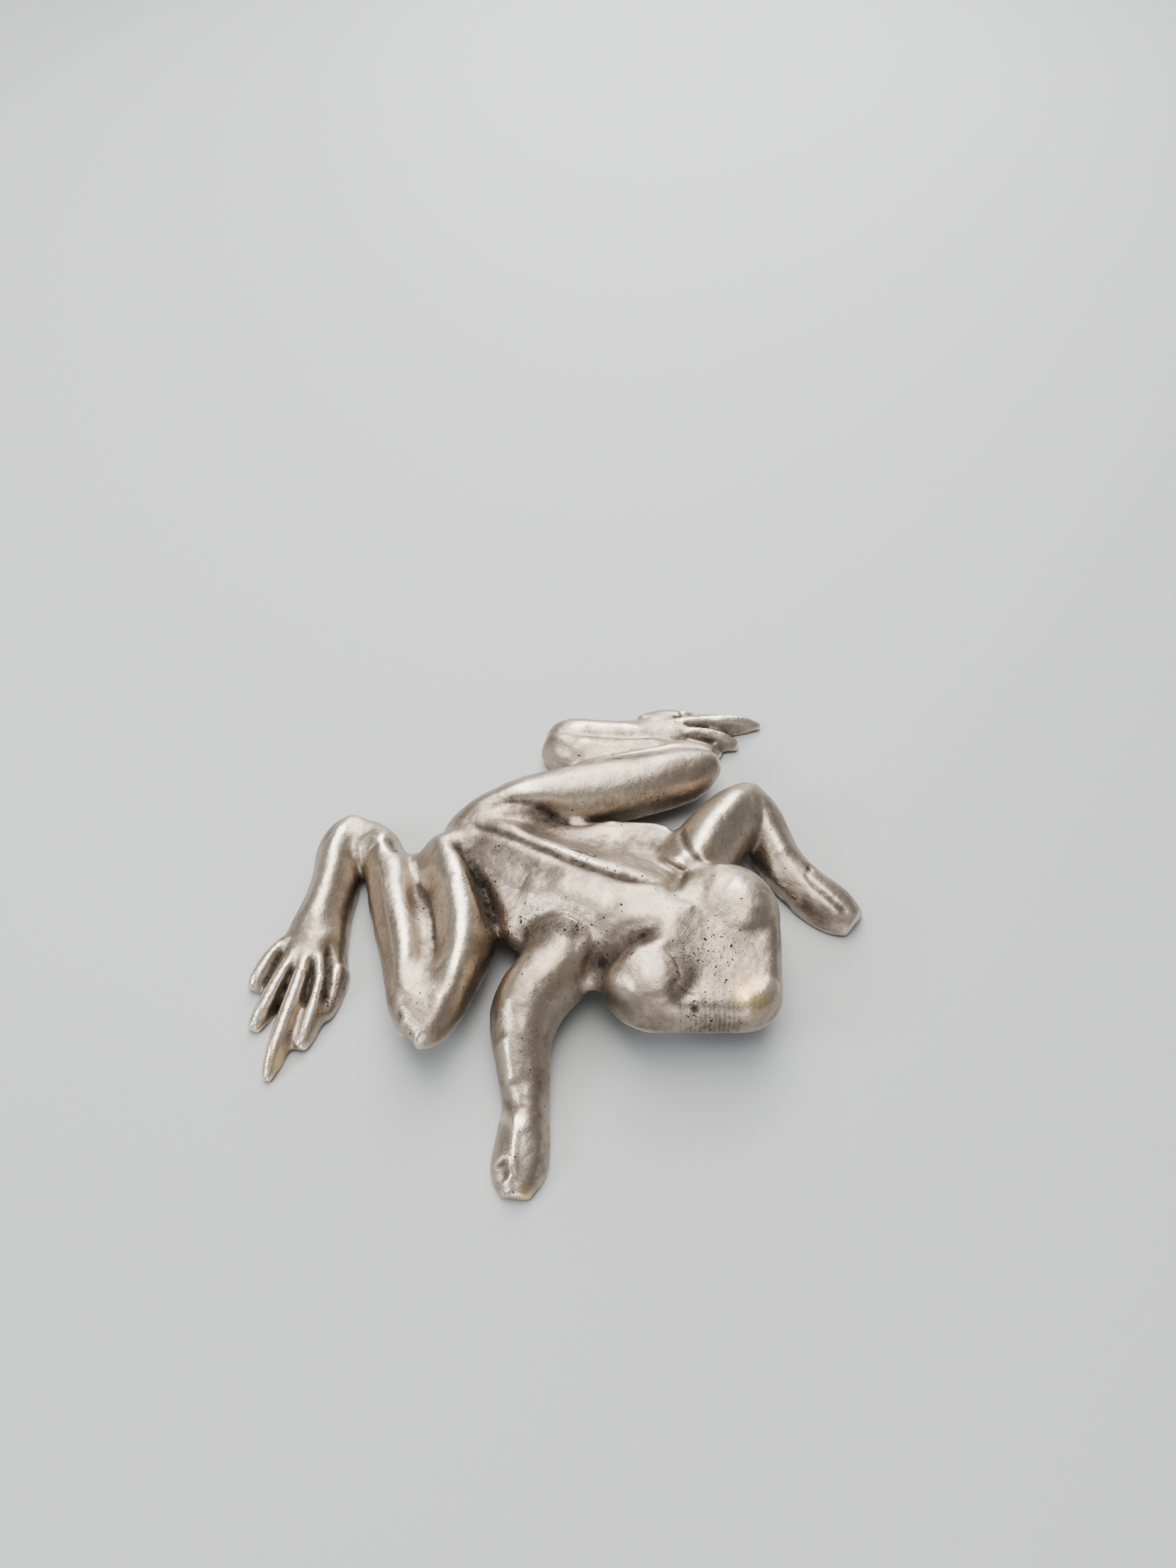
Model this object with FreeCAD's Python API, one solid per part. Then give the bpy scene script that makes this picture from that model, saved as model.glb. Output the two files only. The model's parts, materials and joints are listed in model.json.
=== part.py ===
import FreeCAD, Part
import math
import os

# A cast metal frog, crawling: head raised, both hind legs folded, one arm forward and one arm back.
# Plan directions: the frog faces -Y, its own left is +X, and it stands on the plane z = 0.
# Lengths are millimetres. Stations and seams are drawn at the drawn sizes and scaled to the figure's sizes.

# Overall size of the figure: across the legs, heel to fingertips, and floor to eye tops.
figure_span = 111.3
figure_length = 91.85
figure_height = 17.6
drawn_span = 111.3
drawn_length = 91.85
drawn_height = 17.6

# The body and the head are one hollow casting, open underneath.
wall = 2.0

# Head, a rounded triangle in plan, turned towards the frog's right.
head_x = 2.9
head_y = -25.6
head_turn = -17.0
head_eye_offset = 8.6
head_eye_back = 4.2
head_eye_corner = 8.8
head_snout_ahead = 6.0
head_snout_corner = 7.3
head_rim = 7.6
head_crown = 16.4
head_nose = 13.4
eye_radius = 6.8
eye_half_height = 3.7
eye_spread = 9.4
eye_back = 4.0
eye_top = 17.6

# Fullness of the limbs: their width as a share of the drawn width.
thigh_fullness = 1.0
shank_fullness = 1.0
arm_fullness = 1.0
toe_fullness = 1.0

sx = figure_span / drawn_span
sy = figure_length / drawn_length
sz = figure_height / drawn_height


def vector(x, y, z):
    return FreeCAD.Vector(x * sx, y * sy, z * sz)


def arch_wire(points):
    """One cross-section: a smooth curve over the top, closed by a straight underside."""
    curve = Part.BSplineCurve()
    curve.interpolate(points)
    over = curve.toShape()
    under = Part.LineSegment(points[-1], points[0]).toShape()
    return Part.Wire([over, under])


# Shape of a limb's section: share of half width, share of height. The crest sits at the ridge.
limb_profile = [
    (-1.00, 0.00),
    (-0.98, 0.34),
    (-0.62, 0.80),
    (0.00, 1.00),
    (0.62, 0.80),
    (0.98, 0.34),
    (1.00, 0.00),
]


def limb_section(x, y, along, half_width, low, high, ridge):
    """A section across the direction `along` (radians in plan). ridge moves the crest sideways."""
    across_x = -math.sin(along)
    across_y = math.cos(along)
    points = []
    for share, rise in limb_profile:
        side = half_width * (share + ridge * rise * rise * (1.0 - abs(share)))
        points.append(vector(x + side * across_x, y + side * across_y, low + rise * (high - low)))
    return arch_wire(points)


def limb(stations, fullness=1.0):
    """Loft a limb through stations of (x, y, half_width, low, high, ridge)."""
    wires = []
    last = len(stations) - 1
    for number, (x, y, half_width, low, high, ridge) in enumerate(stations):
        before = stations[max(number - 1, 0)]
        after = stations[min(number + 1, last)]
        along = math.atan2(after[1] - before[1], after[0] - before[0])
        wires.append(limb_section(x, y, along, half_width * fullness, low, high, ridge))
    return Part.makeLoft(wires, True, False)


# Hind leg on the frog's right: thigh, shank, foot and toes.
right_thigh_line = [
    (6.5, 24.4, 5.0, 3.0, 9.8, 0.0),
    (-1.0, 22.4, 6.2, 3.0, 11.5, 0.0),
    (-9.0, 16.7, 6.4, 4.0, 12.5, 0.0),
    (-14.8, 12.1, 5.6, 5.0, 12.8, -0.1),
    (-20.9, 9.4, 3.9, 5.8, 13.0, 0.0),
    (-27.5, 8.2, 3.2, 6.4, 12.6, 0.0),
    (-31.0, 8.2, 2.2, 7.0, 11.4, 0.0),
    (-32.6, 8.6, 1.0, 7.6, 10.2, 0.0),
]
right_shank_line = [
    (-31.6, 9.6, 1.6, 7.4, 10.6, 0.0),
    (-28.6, 11.4, 3.4, 6.6, 12.4, 0.0),
    (-23.6, 15.6, 4.2, 5.0, 12.0, 0.0),
    (-18.0, 20.9, 4.4, 3.8, 11.0, 0.0),
    (-13.0, 26.2, 4.4, 2.8, 10.2, 0.0),
    (-7.2, 32.0, 4.4, 1.8, 9.4, 0.0),
    (-2.8, 37.0, 4.3, 1.2, 8.8, 0.0),
    (-1.2, 41.4, 4.0, 1.0, 8.2, 0.0),
    (-1.6, 44.8, 2.8, 1.0, 7.2, 0.0),
]
right_foot_line = [
    (1.0, 43.6, 2.8, 1.0, 7.0, 0.0),
    (-2.0, 44.5, 4.1, 1.0, 8.1, 0.0),
    (-6.3, 43.9, 4.6, 0.8, 8.0, 0.0),
    (-10.7, 41.8, 4.3, 0.5, 7.4, 0.0),
    (-15.8, 39.8, 4.5, 0.2, 6.6, 0.0),
    (-21.9, 37.6, 5.6, -0.5, 5.8, 0.1),
    (-27.5, 35.2, 7.2, -0.5, 4.6, 0.1),
    (-31.5, 33.4, 6.8, -0.5, 3.4, 0.1),
]
right_toes = [
    [(-25.0, 40.4, 2.2, -0.5, 4.6, 0.0), (-30.5, 41.2, 2.1, -0.5, 3.6, 0.0), (-35.3, 40.7, 1.4, -0.5, 2.4, 0.0)],
    [(-28.0, 37.0, 2.3, -0.5, 4.8, 0.0), (-35.0, 36.8, 2.0, -0.5, 3.6, 0.0), (-41.2, 35.8, 1.3, -0.5, 2.2, 0.0)],
    [(-29.5, 34.0, 2.5, -0.5, 5.0, 0.0), (-38.0, 31.2, 2.2, -0.5, 4.0, 0.0),
     (-43.5, 29.4, 1.6, -0.5, 3.0, 0.0), (-47.0, 28.0, 0.8, -0.5, 1.8, 0.0)],
    [(-28.0, 31.0, 2.3, -0.5, 4.4, 0.0), (-35.0, 28.4, 2.0, -0.5, 3.4, 0.0), (-40.0, 27.0, 1.3, -0.5, 2.2, 0.0)],
    [(-24.5, 31.0, 2.2, -0.5, 4.2, 0.0), (-29.5, 28.6, 2.0, -0.5, 3.4, 0.0), (-33.6, 26.9, 1.3, -0.5, 2.2, 0.0)],
]

# Hind leg on the frog's left, folded tighter, with the foot lying along the shank.
left_thigh_line = [
    (5.0, 25.2, 4.7, 3.2, 9.7, 0.0),
    (12.4, 23.0, 6.0, 3.1, 11.1, 0.0),
    (20.5, 17.4, 6.3, 3.2, 11.8, 0.1),
    (28.2, 9.6, 6.6, 3.6, 12.0, 0.2),
    (36.0, 1.2, 6.0, 4.0, 11.6, 0.2),
    (42.2, -4.2, 4.4, 4.4, 10.4, 0.1),
    (45.2, -6.4, 2.0, 5.4, 8.6, 0.0),
]
left_shank_line = [
    (46.0, -4.8, 2.4, 4.2, 8.2, 0.0),
    (44.6, -1.0, 4.0, 3.0, 8.6, 0.0),
    (41.0, 5.4, 4.6, 2.2, 8.2, 0.0),
    (37.8, 11.4, 4.8, 1.6, 7.8, 0.0),
    (35.4, 17.4, 4.6, 1.0, 7.8, 0.0),
    (35.6, 22.2, 3.9, 0.8, 7.6, 0.0),
    (36.4, 25.4, 2.6, 1.0, 6.0, 0.0),
]
left_foot_line = [
    (35.4, 24.4, 2.6, 1.0, 6.0, 0.0),
    (38.2, 23.2, 4.1, 0.8, 7.4, 0.0),
    (41.4, 18.6, 4.3, 0.6, 7.2, 0.0),
    (45.5, 12.3, 4.4, 0.3, 6.4, 0.0),
    (49.7, 6.7, 5.2, -0.5, 5.6, 0.0),
    (52.7, 2.7, 5.2, -0.5, 4.6, 0.0),
    (54.4, -0.8, 4.6, -0.5, 3.2, 0.0),
]
left_toes = [
    [(49.8, 12.2, 2.8, -0.5, 4.8, 0.0), (54.2, 9.0, 2.7, -0.5, 4.0, 0.0), (56.8, 5.0, 2.2, -0.5, 3.2, 0.0),
     (57.9, 2.0, 1.2, -0.5, 2.0, 0.0)],
    [(54.4, 6.0, 2.8, -0.5, 4.8, 0.0), (58.4, -0.4, 2.6, -0.5, 3.8, 0.0), (61.5, -4.9, 1.9, -0.5, 2.8, 0.0),
     (63.2, -8.2, 0.9, -0.5, 1.6, 0.0)],
    [(52.2, 3.0, 2.7, -0.5, 4.8, 0.0), (54.8, -2.2, 2.4, -0.5, 3.6, 0.0), (55.9, -6.6, 1.2, -0.5, 2.0, 0.0)],
    [(50.2, 3.0, 2.4, -0.5, 4.6, 0.0), (51.4, -1.4, 2.0, -0.5, 3.4, 0.0), (52.0, -4.8, 1.1, -0.5, 1.8, 0.0)],
]

# Metal that closes the valleys: between thigh and shank, and between shank and foot.
right_web_line = [
    (1.0, 30.0, 2.2, 2.6, 6.2, 0.0),
    (-5.0, 28.0, 3.0, 2.8, 6.4, 0.0),
    (-12.0, 21.8, 3.2, 3.4, 6.8, 0.0),
    (-18.0, 15.6, 2.6, 4.6, 7.8, 0.0),
    (-22.0, 12.4, 2.0, 5.6, 8.8, 0.0),
]
left_web_line = [
    (37.6, 22.6, 1.8, 1.0, 4.6, 0.0),
    (40.0, 16.0, 2.4, 0.8, 4.4, 0.0),
    (43.6, 9.4, 2.4, 0.6, 4.2, 0.0),
    (47.0, 3.6, 1.6, 0.4, 4.0, 0.0),
]

# Arms. The right arm reaches out and forward, the left one bends sharply at the elbow.
right_arm_line = [
    (-3.0, -3.4, 6.2, 5.4, 15.0, 0.0),
    (-9.2, -3.4, 6.4, 5.0, 14.4, 0.0),
    (-14.5, -2.8, 5.8, 4.6, 13.4, 0.0),
    (-19.5, -3.4, 5.4, 3.8, 12.0, 0.0),
    (-24.0, -6.0, 4.5, 2.8, 9.8, 0.0),
    (-27.8, -8.8, 3.9, 1.4, 7.6, 0.0),
    (-31.0, -10.8, 3.8, 0.2, 6.0, 0.0),
    (-36.4, -13.4, 4.4, -0.5, 5.2, 0.0),
    (-40.2, -15.0, 4.0, -0.5, 4.2, 0.0),
    (-43.2, -16.4, 2.4, -0.5, 2.8, 0.0),
]
left_upper_arm_line = [
    (15.0, -13.0, 6.2, 6.0, 14.6, 0.0),
    (22.0, -14.0, 6.6, 5.2, 14.4, 0.0),
    (29.0, -14.2, 6.2, 4.6, 13.2, 0.0),
    (36.0, -15.0, 5.6, 4.0, 12.0, 0.0),
    (40.0, -15.5, 4.4, 3.8, 10.4, 0.0),
    (42.8, -15.9, 2.2, 4.4, 8.4, 0.0),
]
left_forearm_line = [
    (40.6, -12.8, 2.8, 4.4, 9.0, 0.0),
    (38.6, -16.4, 4.5, 3.6, 10.4, 0.0),
    (35.6, -21.4, 4.6, 2.2, 8.8, 0.0),
    (32.2, -26.2, 4.3, 1.0, 7.0, 0.0),
    (30.4, -30.6, 4.4, 0.2, 6.0, 0.0),
    (29.2, -35.6, 4.8, -0.5, 5.2, 0.0),
    (28.4, -39.8, 4.2, -0.5, 4.2, 0.0),
    (28.0, -42.4, 3.0, -0.5, 3.0, 0.0),
]

# Body sections at stations along y: right edge, right ridge, left ridge, left edge, rim height, back height.
body_stations = [
    (29.2, 3.2, 5.8, 8.6, 11.0, 3.6, 7.0),
    (25.6, -0.4, 5.0, 8.6, 14.6, 3.8, 9.4),
    (19.0, -4.6, 3.6, 8.6, 17.6, 4.4, 12.0),
    (10.0, -7.8, 2.2, 8.4, 20.0, 5.2, 13.8),
    (1.0, -10.2, 1.2, 8.0, 23.0, 6.0, 14.8),
    (-6.0, -10.8, 0.6, 8.0, 25.3, 6.6, 15.4),
    (-13.0, -9.4, 0.4, 8.0, 22.0, 7.2, 16.0),
    (-20.0, -8.6, 0.4, 7.6, 19.6, 7.6, 16.2),
]
flank_sag = 0.42

# Seams in plan, each shared by the two pieces that it parts. They run past the metal at both ends.
right_hip = [(4.0, 32.0), (3.6, 27.0), (-9.9, 5.0)]
right_knee = [(-40.0, 7.4), (-22.3, 11.9), (-16.5, 16.9), (-5.2, 29.3), (0.5, 31.0), (4.0, 32.0)]
right_ankle = [(-40.0, 16.0), (-10.0, 36.0), (3.2, 46.6), (9.0, 51.0)]
left_hip = [(12.3, 34.0), (12.0, 25.0), (17.3, 14.0), (19.8, 7.7), (23.8, 1.4), (26.4, -1.4)]
left_knee = [(24.0, 34.0), (29.0, 20.0), (44.5, 1.0), (48.3, -4.5)]
left_ankle = [(36.6, 34.0), (36.8, 27.0), (46.4, 5.4), (47.6, 1.0), (48.3, -4.5)]
right_shoulder = [(-9.9, 5.0), (-9.5, -11.5)]
right_elbow = [(-22.0, 2.6), (-18.4, -14.0)]
right_wrist = [(-35.5, -4.0), (-27.6, -17.0)]
left_shoulder = [(23.5, -19.5), (21.5, -13.0), (26.5, -7.6), (29.5, -4.8)]
left_elbow = [(23.5, -19.5), (28.4, -20.4), (50.0, -14.5)]
left_wrist = [(22.8, -29.5), (38.5, -32.5)]
neck = [(-9.5, -11.5), (-3.5, -12.0), (3.0, -15.0), (15.0, -17.0), (23.5, -19.5)]

# Open gaps between members, where no metal crosses.
right_side_gap = [(-9.9, 5.0), (-14.0, 3.9), (-22.0, 2.6), (-40.0, 1.0)]
left_side_gap = [(26.4, -1.4), (29.5, -4.8), (37.0, -8.3), (48.3, -9.2)]
right_cheek_gap = [(-9.5, -11.5), (-18.4, -14.0), (-27.6, -17.0)]
left_cheek_gap = [(23.5, -19.5), (24.5, -25.0), (22.8, -29.5), (19.0, -48.0)]

regions = {
    "torso": right_hip + right_shoulder[1:] + neck[1:] + left_shoulder[1:] + left_hip[::-1] + [(9.0, 34.0)],
    "head": right_cheek_gap + [(-27.6, -48.0)] + left_cheek_gap[::-1] + neck[3:0:-1],
    "right_thigh": right_hip + right_side_gap[1:] + right_knee[:-1],
    "right_shank": right_knee[::-1] + right_ankle + [(9.0, 34.0)],
    "right_foot": right_ankle[::-1] + [(-60.0, 16.0), (-60.0, 60.0), (9.0, 60.0)],
    "left_thigh": left_hip + left_side_gap[1:] + left_knee[::-1],
    "left_shank": left_knee + left_ankle[-2::-1],
    "left_foot": left_ankle + [(48.3, -12.0), (75.0, -12.0), (75.0, 34.0)],
    "right_upper_arm": right_side_gap[:3] + [right_elbow[1]] + [right_shoulder[1]],
    "right_forearm": right_elbow[:1] + [right_side_gap[3]] + right_wrist + right_elbow[1:],
    "right_hand": right_wrist + [(-27.6, -30.0), (-60.0, -30.0), (-60.0, 1.0), right_side_gap[3]],
    "left_upper_arm": left_shoulder + left_side_gap[2:] + left_elbow[:0:-1],
    "left_forearm": left_elbow + [(50.0, -32.0), left_wrist[1], left_wrist[0], left_cheek_gap[1]],
    "left_hand": left_wrist + [(50.0, -32.0), (50.0, -48.0), left_cheek_gap[3]],
}
hollow_regions = ("torso", "head")


def body_section(y, right, ridge_right, ridge_left, left, rim, back, inset=0.0, drop=0.0):
    """Section across the body. inset and drop pull it in to make the hollow underneath."""
    right = right + inset / sx
    left = left - inset / sx
    back = back - inset / sz
    floor = rim - drop
    waist = rim + flank_sag * (back - rim)
    points = [
        vector(right, y, floor),
        vector(right, y, rim + 0.12 * (back - rim)),
        vector(right + 0.45 * (ridge_right - right), y, rim + 0.66 * (back - rim)),
        vector(ridge_right, y, back),
        vector(ridge_left, y, back + 0.2),
        vector(ridge_left + 0.45 * (left - ridge_left), y, waist + 0.16 * (back - rim)),
        vector(left, y, rim + 0.12 * (back - rim)),
        vector(left, y, floor),
    ]
    return arch_wire(points)


def body_outside():
    return Part.makeLoft([body_section(*station) for station in body_stations], True, False)


def crossing(seam, y):
    """Where a seam crosses the line y, or None where it does not reach."""
    for (ax, ay), (bx, by) in zip(seam, seam[1:]):
        if min(ay, by) <= y <= max(ay, by) and ay != by:
            return ax + (bx - ax) * (y - ay) / (by - ay)
    return None


def body_hollow():
    """The space under the back. It stays a wall clear of the outside and of every limb seam."""
    sections = []
    for y, right, ridge_right, ridge_left, left, rim, back in body_stations[2:]:
        right_seams = [crossing(seam, y) for seam in (right_hip, right_shoulder)]
        left_seams = [crossing(seam, y) for seam in (left_hip, left_shoulder)]
        right = max([right] + [x for x in right_seams if x is not None])
        left = min([left] + [x for x in left_seams if x is not None])
        sections.append(body_section(y, right, ridge_right, ridge_left, left, rim, back, wall, 16.0))
    return Part.makeLoft(sections, True, False)


def head_point(side, ahead, z):
    """A point in the head's own directions: side is towards the frog's left, ahead is to the snout."""
    turn = math.radians(head_turn)
    x = head_x + side * math.cos(turn) + ahead * math.sin(turn)
    y = head_y + side * math.sin(turn) - ahead * math.cos(turn)
    return vector(x, y, z)


def rounded_triangle(inset, low, share, drop):
    """The head's outline: three corner arcs joined by straight sides, at a share of the head's height."""
    corners = [
        (-head_eye_offset, -head_eye_back, head_eye_corner - inset),
        (0.0, head_snout_ahead, head_snout_corner - inset),
        (head_eye_offset, -head_eye_back, head_eye_corner - inset),
    ]
    edges = []
    ends = []
    for number in range(3):
        ax, ay, ar = corners[number]
        bx, by, br = corners[(number + 1) % 3]
        gap = math.hypot(bx - ax, by - ay)
        heading = math.atan2(by - ay, bx - ax)
        lean = math.acos((ar - br) / gap)
        normal = heading + lean
        start = (ax + ar * math.cos(normal), ay + ar * math.sin(normal))
        end = (bx + br * math.cos(normal), by + br * math.sin(normal))
        ends.append((start, end, normal))

    def place(point):
        top = head_crown + (head_nose - head_crown) * head_slope(point[1]) - drop
        return head_point(point[0], point[1], low + share * (top - low))

    for number in range(3):
        start, end, normal = ends[number]
        following = ends[(number + 1) % 3]
        cx, cy, radius = corners[(number + 1) % 3]
        turn = following[2] - normal
        while turn > 0:
            turn -= 2 * math.pi
        middle = normal + turn / 2
        mid = (cx + radius * math.cos(middle), cy + radius * math.sin(middle))
        edges.append(Part.LineSegment(place(start), place(end)).toShape())
        edges.append(Part.Arc(place(end), place(mid), place(following[0])).toShape())
    return Part.Wire(edges)


def head_slope(ahead):
    """Share of the way from the crown, at the back of the head, to the nose."""
    back = -head_eye_back - head_eye_corner
    tip = head_snout_ahead + head_snout_corner
    return (ahead - back) / (tip - back)


def head_shell(inset, low):
    """The head's loft: walls leaning in a little, then rounded over to a crown that slopes to the nose."""
    levels = [(0.0, 0.0), (0.25, 0.5), (1.1, 0.86), (3.4, 1.0)]
    wires = []
    for lean, share in levels:
        wires.append(rounded_triangle(inset + lean, low, share, inset))
    return Part.makeLoft(wires, True, False)


def eye_dome(side):
    ball = Part.makeSphere(eye_radius)
    stretch = FreeCAD.Matrix()
    stretch.scale(sx, sy, sz * eye_half_height / eye_radius)
    ball = ball.transformGeometry(stretch)
    ball.translate(head_point(side * eye_spread, -eye_back, eye_top - eye_half_height))
    return ball


def slab(points, low, high):
    """An upright block over a plan outline."""
    corners = [FreeCAD.Vector(x * sx, y * sy, low) for x, y in points]
    corners.append(corners[0])
    face = Part.Face(Part.makePolygon(corners))
    return face.extrude(FreeCAD.Vector(0, 0, high - low))


def whole_figure():
    limbs = [
        limb(right_thigh_line, thigh_fullness),
        limb(right_shank_line, shank_fullness),
        limb(right_foot_line),
        limb(left_thigh_line, thigh_fullness),
        limb(left_shank_line, shank_fullness),
        limb(left_foot_line),
        limb(right_web_line),
        limb(left_web_line),
        limb(right_arm_line, arm_fullness),
        limb(left_upper_arm_line, arm_fullness),
        limb(left_forearm_line, arm_fullness),
    ]
    toes = [limb(line, toe_fullness) for line in right_toes + left_toes]
    head = head_shell(0.0, head_rim).multiFuse([eye_dome(-1), eye_dome(1)])
    return body_outside().multiFuse([head] + limbs + toes)


def above_floor(shape):
    reach = 200.0
    block = Part.makeBox(2 * reach, 2 * reach, reach, FreeCAD.Vector(-reach, -reach, 0))
    return shape.common(block)


def make_nodes():
    figure = above_floor(whole_figure())
    hollow = body_hollow().fuse(head_shell(wall, -1.0))
    nodes = {}
    for name, outline in regions.items():
        piece = figure.common(slab(outline, -5.0, 60.0))
        if name in hollow_regions:
            piece = piece.cut(hollow)
        nodes[name] = piece
    return nodes


def centred(nodes):
    """Put the origin on the floor, under the middle of the figure's box."""
    box = Part.makeCompound(list(nodes.values())).optimalBoundingBox()
    move = FreeCAD.Vector(-box.Center.x, -box.Center.y, 0)
    for shape in nodes.values():
        shape.translate(move)
    return nodes


os.makedirs("parts", exist_ok=True)
for name, shape in centred(make_nodes()).items():
    print(name, shape.isValid(), len(shape.Solids), round(shape.Volume, 1))
    shape.exportStep("parts/" + name + ".step")
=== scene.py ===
# Cast frog: one aged, silver-plated brass casting, divided at its narrow places into the frame's pieces.
# Paths are plan points in millimetres, in the frog's own drawing, which castToPlan turns metres into.
import json
import math

import bpy
import numpy as np
from mathutils.kdtree import KDTree
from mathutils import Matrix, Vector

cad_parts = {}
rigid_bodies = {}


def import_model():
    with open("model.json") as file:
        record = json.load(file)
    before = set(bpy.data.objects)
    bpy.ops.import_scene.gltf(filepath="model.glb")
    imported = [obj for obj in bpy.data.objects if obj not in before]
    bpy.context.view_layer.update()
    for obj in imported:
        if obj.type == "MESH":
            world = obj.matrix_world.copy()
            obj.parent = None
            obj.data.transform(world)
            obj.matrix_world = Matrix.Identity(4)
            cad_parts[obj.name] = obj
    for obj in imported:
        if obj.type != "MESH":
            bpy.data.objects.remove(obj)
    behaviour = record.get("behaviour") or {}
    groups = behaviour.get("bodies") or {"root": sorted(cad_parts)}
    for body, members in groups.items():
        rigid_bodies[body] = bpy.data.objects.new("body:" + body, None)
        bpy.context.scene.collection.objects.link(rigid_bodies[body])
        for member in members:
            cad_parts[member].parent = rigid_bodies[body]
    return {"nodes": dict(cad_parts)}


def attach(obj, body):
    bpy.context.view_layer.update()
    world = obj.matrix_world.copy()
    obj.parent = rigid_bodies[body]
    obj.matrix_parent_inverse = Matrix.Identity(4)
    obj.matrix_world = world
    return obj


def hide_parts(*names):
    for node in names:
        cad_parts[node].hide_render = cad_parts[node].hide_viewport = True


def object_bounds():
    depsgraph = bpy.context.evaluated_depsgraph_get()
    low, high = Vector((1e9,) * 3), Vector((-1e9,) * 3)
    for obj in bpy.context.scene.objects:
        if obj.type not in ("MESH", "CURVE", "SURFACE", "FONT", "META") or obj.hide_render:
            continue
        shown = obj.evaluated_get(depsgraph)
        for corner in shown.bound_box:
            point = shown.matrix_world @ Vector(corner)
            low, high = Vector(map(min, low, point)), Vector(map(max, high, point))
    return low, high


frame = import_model()
cadBounds = [list(corner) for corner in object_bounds()]

drawing = {
    "centreX": 8.35,       # drawn point that stands on the frame's origin
    "centreY": 3.06,
    "perMetre": 1000.0,
}

casting = {
    "voxel": 0.00026,
    "rounding": 10,        # smoothing passes over the whole skin
    "fillet": 60,          # passes for the hollows where members meet
    "filletFrom": 0.04,    # how far the smoothed skin stands off before a fillet starts, mm
    "filletFull": 0.30,
    "filletTurns": 2,
    "settle": 4,           # passes after the modelling strokes
    "soften": 380,         # passes for the places in softSpots and softValley
    "lumpSize": 0.0040,
    "lumpHeight": 0.00012,
    "grainSize": 0.0009,
    "grainHeight": 0.00003,
    "sharpAngle": 62,
    "cutGap": 0.004,       # how near a face lies to a seam to be a cut wall, mm
    "toneGap": 0.1,        # how near a point lies to a seam to take the skin's tones again, mm
    "cutterBottom": -0.005,
    "cutterHeight": 0.04,
    "highest": 1.02,       # how far the roughened skin may stand over the frame's top
    "tipReach": 3.6,
    "seamReach": 1.3,      # the join lines of the frame's pieces are smoothed out this far, mm
    "tips": 34,            # passes that round the toe tips and hand ends
}


def selectOnly(*objects):
    bpy.ops.object.select_all(action="DESELECT")
    for item in objects:
        item.select_set(True)
    bpy.context.view_layer.objects.active = objects[0]


def applyModifier(piece, kind, **settings):
    selectOnly(piece)
    modifier = piece.modifiers.new(kind.title(), kind)
    for key, value in settings.items():
        setattr(modifier, key, value)
    bpy.ops.object.modifier_apply(modifier=modifier.name)


def readVectors(items, field, width=3, kind=float):
    values = np.empty(len(items) * width, dtype=kind)
    items.foreach_get(field, values)
    return values.reshape(-1, width)


def writePoints(mesh, points):
    mesh.vertices.foreach_set("co", points.ravel())
    mesh.update()


def castToPlan(points):
    shift = np.array([drawing["centreX"], drawing["centreY"], 0.0])
    return points * drawing["perMetre"] + shift


def planToCast(points):
    shift = np.array([drawing["centreX"], drawing["centreY"], 0.0])
    return (points - shift) / drawing["perMetre"]


def relax(values, edges, passes, share=0.5):
    # each value moves towards the mean of its neighbours
    first, second = edges[:, 0], edges[:, 1]
    count = np.bincount(first, minlength=len(values)) + np.bincount(second, minlength=len(values))
    count = np.maximum(count, 1)
    result = values.copy()
    for step in range(passes):
        for axis in range(result.shape[1]):
            column = result[:, axis]
            total = np.bincount(first, column[second], len(column))
            total += np.bincount(second, column[first], len(column))
            result[:, axis] = column + share * (total / count - column)
    return result


def ramp(values, low, high):
    share = np.clip((values - low) / (high - low), 0.0, 1.0)
    return share * share * (3 - 2 * share)


def smoothPath(path, steps=6):
    # a curve through the path's points
    corners = np.array([path[0]] + list(path) + [path[-1]], dtype=float)
    result = []
    for a, b, c, d in zip(corners, corners[1:], corners[2:], corners[3:]):
        for step in range(steps):
            t = step / steps
            result.append(0.5 * (2 * b + (c - a) * t + (2 * a - 5 * b + 4 * c - d) * t * t
                                 + (3 * b - a - 3 * c + d) * t ** 3))
    result.append(corners[-1])
    return np.array(result)


def distanceToPath(points, path):
    # plan distance to the path, and how far along it the nearest point is, from 0 to 1
    starts, ends = path[:-1], path[1:]
    runs = ends - starts
    lengths = np.maximum((runs ** 2).sum(1), 1e-9)
    near = np.full(len(points), 1e9)
    along = np.zeros(len(points))
    whole = np.sqrt(lengths).cumsum()
    for number in range(len(starts)):
        offset = points - starts[number]
        share = np.clip(offset @ runs[number] / lengths[number], 0, 1)
        gap = np.hypot(*(offset - share[:, None] * runs[number]).T)
        closer = gap < near
        near[closer] = gap[closer]
        before = whole[number - 1] if number else 0.0
        along[closer] = (before + share[closer] * math.sqrt(lengths[number])) / whole[-1]
    return near, along


# A stroke is a path, its width, its height in mm (negative cuts in), whether its bottom or crest is sharp,
# how dark or bright it leaves the metal, and the share of its length over which each end fades.
# the dark tone is patina in grooves and also painted shade; the bright tone is polish on crests and also
# painted highlights
def stroke(path, width, height, sharp=False, dark=0.0, bright=0.0, fade=0.2, spread=0.8):
    return dict(path=path, width=width, height=height, sharp=sharp, dark=dark, bright=bright, fade=fade,
                spread=spread)


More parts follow.
